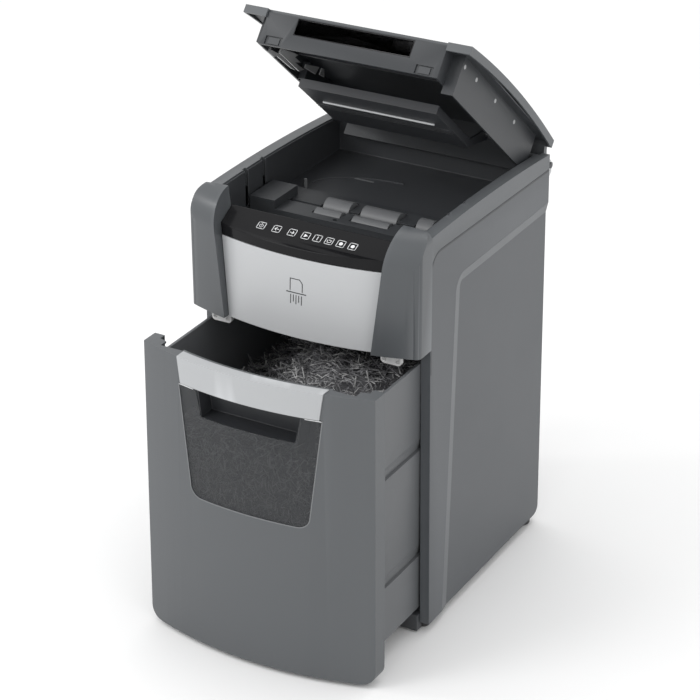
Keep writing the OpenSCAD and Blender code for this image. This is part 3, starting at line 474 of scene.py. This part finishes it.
def on_fascia(u, v, lift):
    """A point on the silver front plate: u across, v above its foot."""
    c, s = math.cos(FASCIA_LEAN), math.sin(FASCIA_LEAN)
    y, dz = bow_y(POST_Y, u, 10.2 - lift), v - FASCIA_FOOT
    return cab(u, y * c - dz * s, FASCIA_FOOT + y * s + dz * c)


mark = stroke([(-9, 491), (-9, 507), (5, 507), (9, 502), (9, 491)], 1.1, on_fascia)
mark += stroke([(-14, 488), (14, 488)], 1.4, on_fascia)
for i in range(5):
    mark += stroke([(-8 + 4 * i, 484.5), (-8 + 4 * i, 473 + (i % 2) * 3)], 1.1, on_fascia)
solid("front_pictogram", mark, print_and_shadow_dark, "cabinet")

# ---- Parts of the lid's inside, the sides, the tray and the bin's front, too fine for the CAD, and strips of painted shadow and highlight ----

def lid_sheet(name, outlines, x0, x1, mat):
    """Flat parts that stand across X between x0 and x1 on the lid; an outline is a list of (y, z)."""
    polys = []
    for outline in outlines:
        polys += prism([lid(x0, y, z) for y, z in outline], [lid(x1, y, z) for y, z in outline])
    solid(name, polys, mat, "lid", edge=0.25)


lid_sheet("left_lift_lever", [
    [(-322, -16.5), (-322, -13), (-294, -9), (-281, -6.5), (-250, -6.5), (-226, -7.5), (-236, -9.5),
     (-262, -10.5), (-284, -11), (-290, -15.5)],
    [(-280, -5), (-280, 1), (-257, 7), (-232, 12), (-239, 6), (-220, 6), (-234, 0.5), (-205, 2), (-216, -5)],
], -133, -130.6, lever_grey)
lid_sheet("left_link_plate", [
    [(-207, 4), (-207, 9), (-171, 20), (-174, 8)],
    [(-163, 12), (-163, 22), (-156, 23), (-149, 14)],
], -131, -129, lever_grey)
ribs = []
for y in (-300, -262, -190):
    ribs += brick(lid, (-144.5, y, -7), (-134, y + 2, 18))
for y in (-282, -236):
    ribs += brick(lid, (-129, y, 12), (126, y + 2, 22))
solid("lid_ribs", ribs, plate_and_pocket_shade_dark, "lid", edge=0.3)
guides = []
for y in (-196, -190, -184):
    guides += brick(lid, (-101, y, -38.6), (101, y + 1.6, -37.05))
solid("plate_guides", guides, print_and_shadow_dark, "paper_press", edge=0.2)


def side_strip(name, outer, inner, mat, outer_depth, inner_depth, back_depth):
    """A strip along both side panels between two lines of (y, z), at depths from their outer faces."""
    def corner(side, point, depth):
        return cab(side * (CABINET_HALF - CABINET_DRAFT * (point[1] - FOOT_HEIGHT) - depth), *point)

    polys = []
    for side in (-1, 1):
        ends = [[corner(side, o, outer_depth), corner(side, i, inner_depth),
                 corner(side, i, back_depth), corner(side, o, back_depth)] for o, i in zip(outer, inner)]
        for a, b in zip(ends, ends[1:]):
            polys += prism(a, b)
    solid(name, polys, mat, "cabinet")


bend = spread(176, 90, 12)
# The sloped bands round the side panels' recesses, in the lighter grey that paints light on them.
side_strip("recess_slopes",
           [(38.1, 14.2)] + on_circle(95, 479, 24.9, 24.9, bend) + [(342.5, 503.9)],
           [(56, 14.2)] + on_circle(95, 479, 8, 10.5, bend) + [(342.5, 489.5)],
           slope_painted_light_grey, 0.15, 3.5, 3.75)
solid("front_sill", brick(cab, (-138.6, 1.6, SILL_TOP - 3), (138.6, 14.3, SILL_TOP)),
      housing_grey, "cabinet", edge=0.5)
# A dark strip along the joint under the top frame: painted shadow of the seam's gap.
bend = spread(180, 90, 12)
side_strip("seam_painted_shadow",
           [(0.9, 392)] + on_circle(27, 533, 26.1, 26.5, bend) + [(CABINET_REAR, 552.5)],
           [(3.1, 392)] + on_circle(27, 533, 23.9, 24.4, bend) + [(CABINET_REAR, 550.4)],
           print_and_shadow_dark, -0.12, -0.12, 0.6)

post = [[cab(x, y, z) for x, y in on_circle(-120, 180, r, r, spread(0, 337.5, 15))]
        for r, z in ((2.6, TRAY_FLOOR), (2.08, 540))]
solid("paper_sensor", prism(*post), pale_grey_and_highlight, "cabinet", edge=0.5)
bend = spread(178, 90, 30)
inside, outside = on_circle(-9, 196, 111, 58, bend), on_circle(-9, 196, 113, 60, bend)
ridge = []
for i in range(30):
    outline = (inside[i], inside[i + 1], outside[i + 1], outside[i])
    ridge += prism(*[[cab(x, y, z) for x, y in outline] for z in (TRAY_FLOOR, 527.6)])
solid("tray_ridge", ridge, look["paper_tray"], "cabinet")
solid("tray_strip", brick(cab, (-78, 240, TRAY_FLOOR), (-48, 243, 526.5)), pale_grey_and_highlight, "cabinet", edge=0.1)


def on_front(u, v, lift):
    """A point just in front of the bin's bowed face."""
    return on_bin(u, v, -lift)


# A paler strip round the window opening: painted highlight on the opening's chamfered edge.
rim_line = [(-106.4, 387), (-90, 246)] + on_circle(-72, 247, 18.4, 18.4, range(188, 271, 12))
rim_line += [(x, 228.6) for x in range(-60, 61, 12)]
rim_line += on_circle(72, 247, 18.4, 18.4, range(270, 353, 12)) + [(106.4, 387)]
fine = []
for (x0, z0), (x1, z1) in zip(rim_line, rim_line[1:]):
    n = max(1, int(math.hypot(x1 - x0, z1 - z0) / 12))
    fine += [(x0 + (x1 - x0) * i / n, z0 + (z1 - z0) * i / n) for i in range(n)]
solid("window_rim_highlight", stroke(fine + [rim_line[-1]], 1.3, on_front, lift=(-0.3, 0.25)), pale_grey_and_highlight, "bin")
# White lines under the handle's lower edge beside the finger pocket: painted highlights.
pocket_highlight_marks = []
for ends in ((-105, -82), (84, 105)):
    pocket_highlight_marks += stroke([(x, 386.6) for x in ends], 0.8, on_front, lift=(-0.4, 0.2))
solid("pocket_painted_highlights", pocket_highlight_marks, print_and_highlight_white, "bin")

# ---- Shreds ----

POCKET_BACK, POCKET_HALF, POCKET_FLOOR = -138.5, 84, 336
BIN_HALF = 150.4
BIN_REAR = 202
BIN_FLOOR = 41
SHREDS_TOP = 396


def smooth(a, b, t):
    """Rises smoothly from 0 to 1 as t goes from a to b."""
    t = max(0.0, min(1.0, (t - a) / (b - a)))
    return t * t * (3 - 2 * t)


def heap(x, y):
    """Height of the shreds in the bin, which keep below the finger pocket."""
    h = 300 + 88 * smooth(-120, 20, x + 0.25 * (y - 20))
    h += (7 * math.sin(x / 21.0 + 1.3) * math.sin(y / 27.0 + 0.4)
          + 4 * math.sin(x / 9.0) * math.sin(y / 11.0 + 2))
    if y < POCKET_BACK + 4 and abs(x) < POCKET_HALF + 5:
        h = min(h, POCKET_FLOOR - 12)
    return min(h, SHREDS_TOP)


def bin_room(x, inset):
    """The y span of the bin's inside at x."""
    return bow_y(BIN_Y, x, 7.5) + inset, BIN_REAR - inset


cols, rows = 46, 50
verts, faces = [], []
for i in range(cols + 1):
    x = -BIN_HALF + 2 * BIN_HALF * i / cols
    y0, y1 = bin_room(x, 0.6)
    y0 += 4.6
    for j in range(rows + 1):
        y = y0 + (y1 - y0) * j / rows
        verts.append(tuple(cab(x, y, heap(x, y) - 6 + rng.uniform(-3, 3))))
for i in range(cols):
    for j in range(rows):
        a = i * (rows + 1) + j
        faces.append((a, a + rows + 1, a + rows + 2, a + 1))
top = len(verts)
rim = [i * (rows + 1) for i in range(cols + 1)] + [cols * (rows + 1) + j for j in range(1, rows + 1)]
rim += [i * (rows + 1) + rows for i in range(cols - 1, -1, -1)] + [j for j in range(rows - 1, 0, -1)]
for k in rim:
    verts.append((verts[k][0], verts[k][1], BIN_FLOOR / 1000))
for k in range(len(rim)):
    kk = (k + 1) % len(rim)
    faces.append((rim[k], top + k, top + kk, rim[kk]))
faces.append(tuple(top + k for k in range(len(rim)))[::-1])
mesh = bpy.data.meshes.new("shred_heap")
mesh.from_pydata(verts, [], faces)
# The heap's surface under the loose strips is dark: painted shade in the gaps between the shreds.
shred_gaps_painted_shade = plastic("shred_gaps_painted_shade", (0.085, 0.085, 0.09), 0.9, grain=260, bump=0.5, tone=0.5, edge_wear_and_highlight=0.0)
add_object("shred_heap", mesh, shred_gaps_painted_shade, "bin")


def shreds(name, count, spot, mat):
    """Short curled strips of paper scattered by spot()."""
    verts, faces = [], []
    for _ in range(count):
        p, tilt = spot()
        length, width = rng.uniform(8, 24), rng.uniform(0.9, 1.7)
        turn = rng.uniform(0, 2 * math.pi)
        curl = rng.uniform(-0.05, 0.05)
        pitch = rng.gauss(0, tilt)
        roll = rng.uniform(-1.2, 1.2)
        level = math.cos(pitch)
        heading = Vector((math.cos(turn) * level, math.sin(turn) * level, math.sin(pitch)))
        side = heading.cross(Vector((0, 0, 1))).normalized()
        side = Matrix.Rotation(roll, 3, heading) @ side
        normal = side.cross(heading)
        base = len(verts)
        steps = 3
        reach = Vector(p) + heading * length
        if any(abs(x) < POCKET_HALF + 4 and y < POCKET_BACK + 2 and z > POCKET_FLOOR - 3
               for x, y, z in (p, reach)):
            continue
        pos, direction = Vector(p), heading.copy()
        for k in range(steps + 1):
            a, b = pos - side * width / 2, pos + side * width / 2
            verts += [tuple(a), tuple(b)]
            direction = (direction + normal * curl * length / steps).normalized()
            pos = pos + direction * length / steps
        for k in range(steps):
            faces.append((base + 2 * k, base + 2 * k + 1, base + 2 * k + 3, base + 2 * k + 2))
    keep = []
    for x, y, z in verts:
        x = max(0.4 - BIN_HALF, min(BIN_HALF - 0.4, x))
        y0, y1 = bin_room(x, 0.8)
        keep.append(tuple(cab(x, max(y0, min(y1, y)), max(BIN_FLOOR + 3, min(z, SHREDS_TOP + 3)))))
    mesh = bpy.data.meshes.new(name)
    mesh.from_pydata(keep, [], faces)
    for p in mesh.polygons:
        p.use_smooth = True
    thick = add_object(name, mesh, mat, "bin").modifiers.new("thick", "SOLIDIFY")
    thick.thickness = 0.00012


def top_spot():
    """A place on top of the heap, and how steeply a strip may stand there."""
    x = rng.uniform(-140, 148)
    y0, y1 = bin_room(x, 3)
    y = rng.uniform(y0, y1)
    return (x, y, heap(x, y) + rng.uniform(-6, 5)), 0.28


def front_spot():
    """A place behind the window, and how steeply a strip may stand there."""
    x = rng.uniform(-112, 112)
    y0, _ = bin_room(x, 1)
    z = rng.uniform(196, min(392, heap(x, y0)))
    return (x, y0 + rng.uniform(0, 4.2), z), 0.9


paper_white = plastic("paper_white", (0.40, 0.40, 0.40), 0.85, grain=500, bump=0.2, tone=0.35, edge_wear_and_highlight=0.0)
paper_grey = plastic("paper_grey", (0.17, 0.17, 0.178), 0.85, grain=500, bump=0.2, tone=0.4, edge_wear_and_highlight=0.0)
shreds("shreds_light", 1900, top_spot, paper_white)
shreds("shreds_dark", 3400, top_spot, paper_grey)
shreds("shreds_behind_window", 1700, front_spot, paper_white)

# ---- Stage ----

ground = bpy.data.meshes.new("ground")
ring = [(x, y, -0.0002) for x, y in on_circle(0, 0, 6, 6, spread(0, 352.5, 47))]
ground.from_pydata(ring, [], [tuple(range(48))])
floor = bpy.data.objects.new("ground", ground)
scene.collection.objects.link(floor)
paint(floor, plastic("ground", (0.93, 0.93, 0.93), 0.9, bump=0.0, tone=0.004, edge_wear_and_highlight=0.0, spec=0.1))

world = bpy.data.worlds.new("studio")
world.use_nodes = True
sky = world.node_tree.nodes["Background"].inputs
sky["Color"].default_value = (1, 1, 1, 1)
sky["Strength"].default_value = 1.0
scene.world = world
scene.view_settings.view_transform = "Standard"


def area(name, at, to, size, power):
    """A round soft light at one point, aimed at another."""
    light = bpy.data.lights.new(name, "AREA")
    light.shape = "DISK"
    light.size = size
    light.energy = power
    o = bpy.data.objects.new(name, light)
    scene.collection.objects.link(o)
    o.location = at
    o.rotation_euler = (Vector(to) - Vector(at)).to_track_quat("-Z", "Y").to_euler()


area("key", (-1.6, -2.2, 2.4), (0, 0, 0.35), 1.4, 24)
area("fill", (2.6, -1.2, 1.2), (0, 0, 0.3), 1.8, 2.6)
area("top", (0.2, 0.4, 2.8), (0, 0, 0.4), 1.6, 10)
area("spark", (-2.0, -0.9, 2.0), (0, 0, 0.5), 0.25, 6)

# ---- Camera ----

cam = bpy.data.cameras.new("camera")
cam.sensor_width = 36
cam.lens = 128.22
cam.clip_end = 50
view = bpy.data.objects.new("camera", cam)
scene.collection.objects.link(view)
scene.camera = view
view.location = cab(1487.40, -2510.26, 1869.57)
ahead = Vector((-0.44270, 0.77385, -0.45297)).normalized()
across = Vector((0.86800, 0.49656, 0)).normalized()
above = across.cross(ahead)
roll = -0.00394
right = across * math.cos(roll) + above * math.sin(roll)
up = right.cross(ahead)
view.rotation_euler = Matrix((right, up, -ahead)).transposed().to_euler()
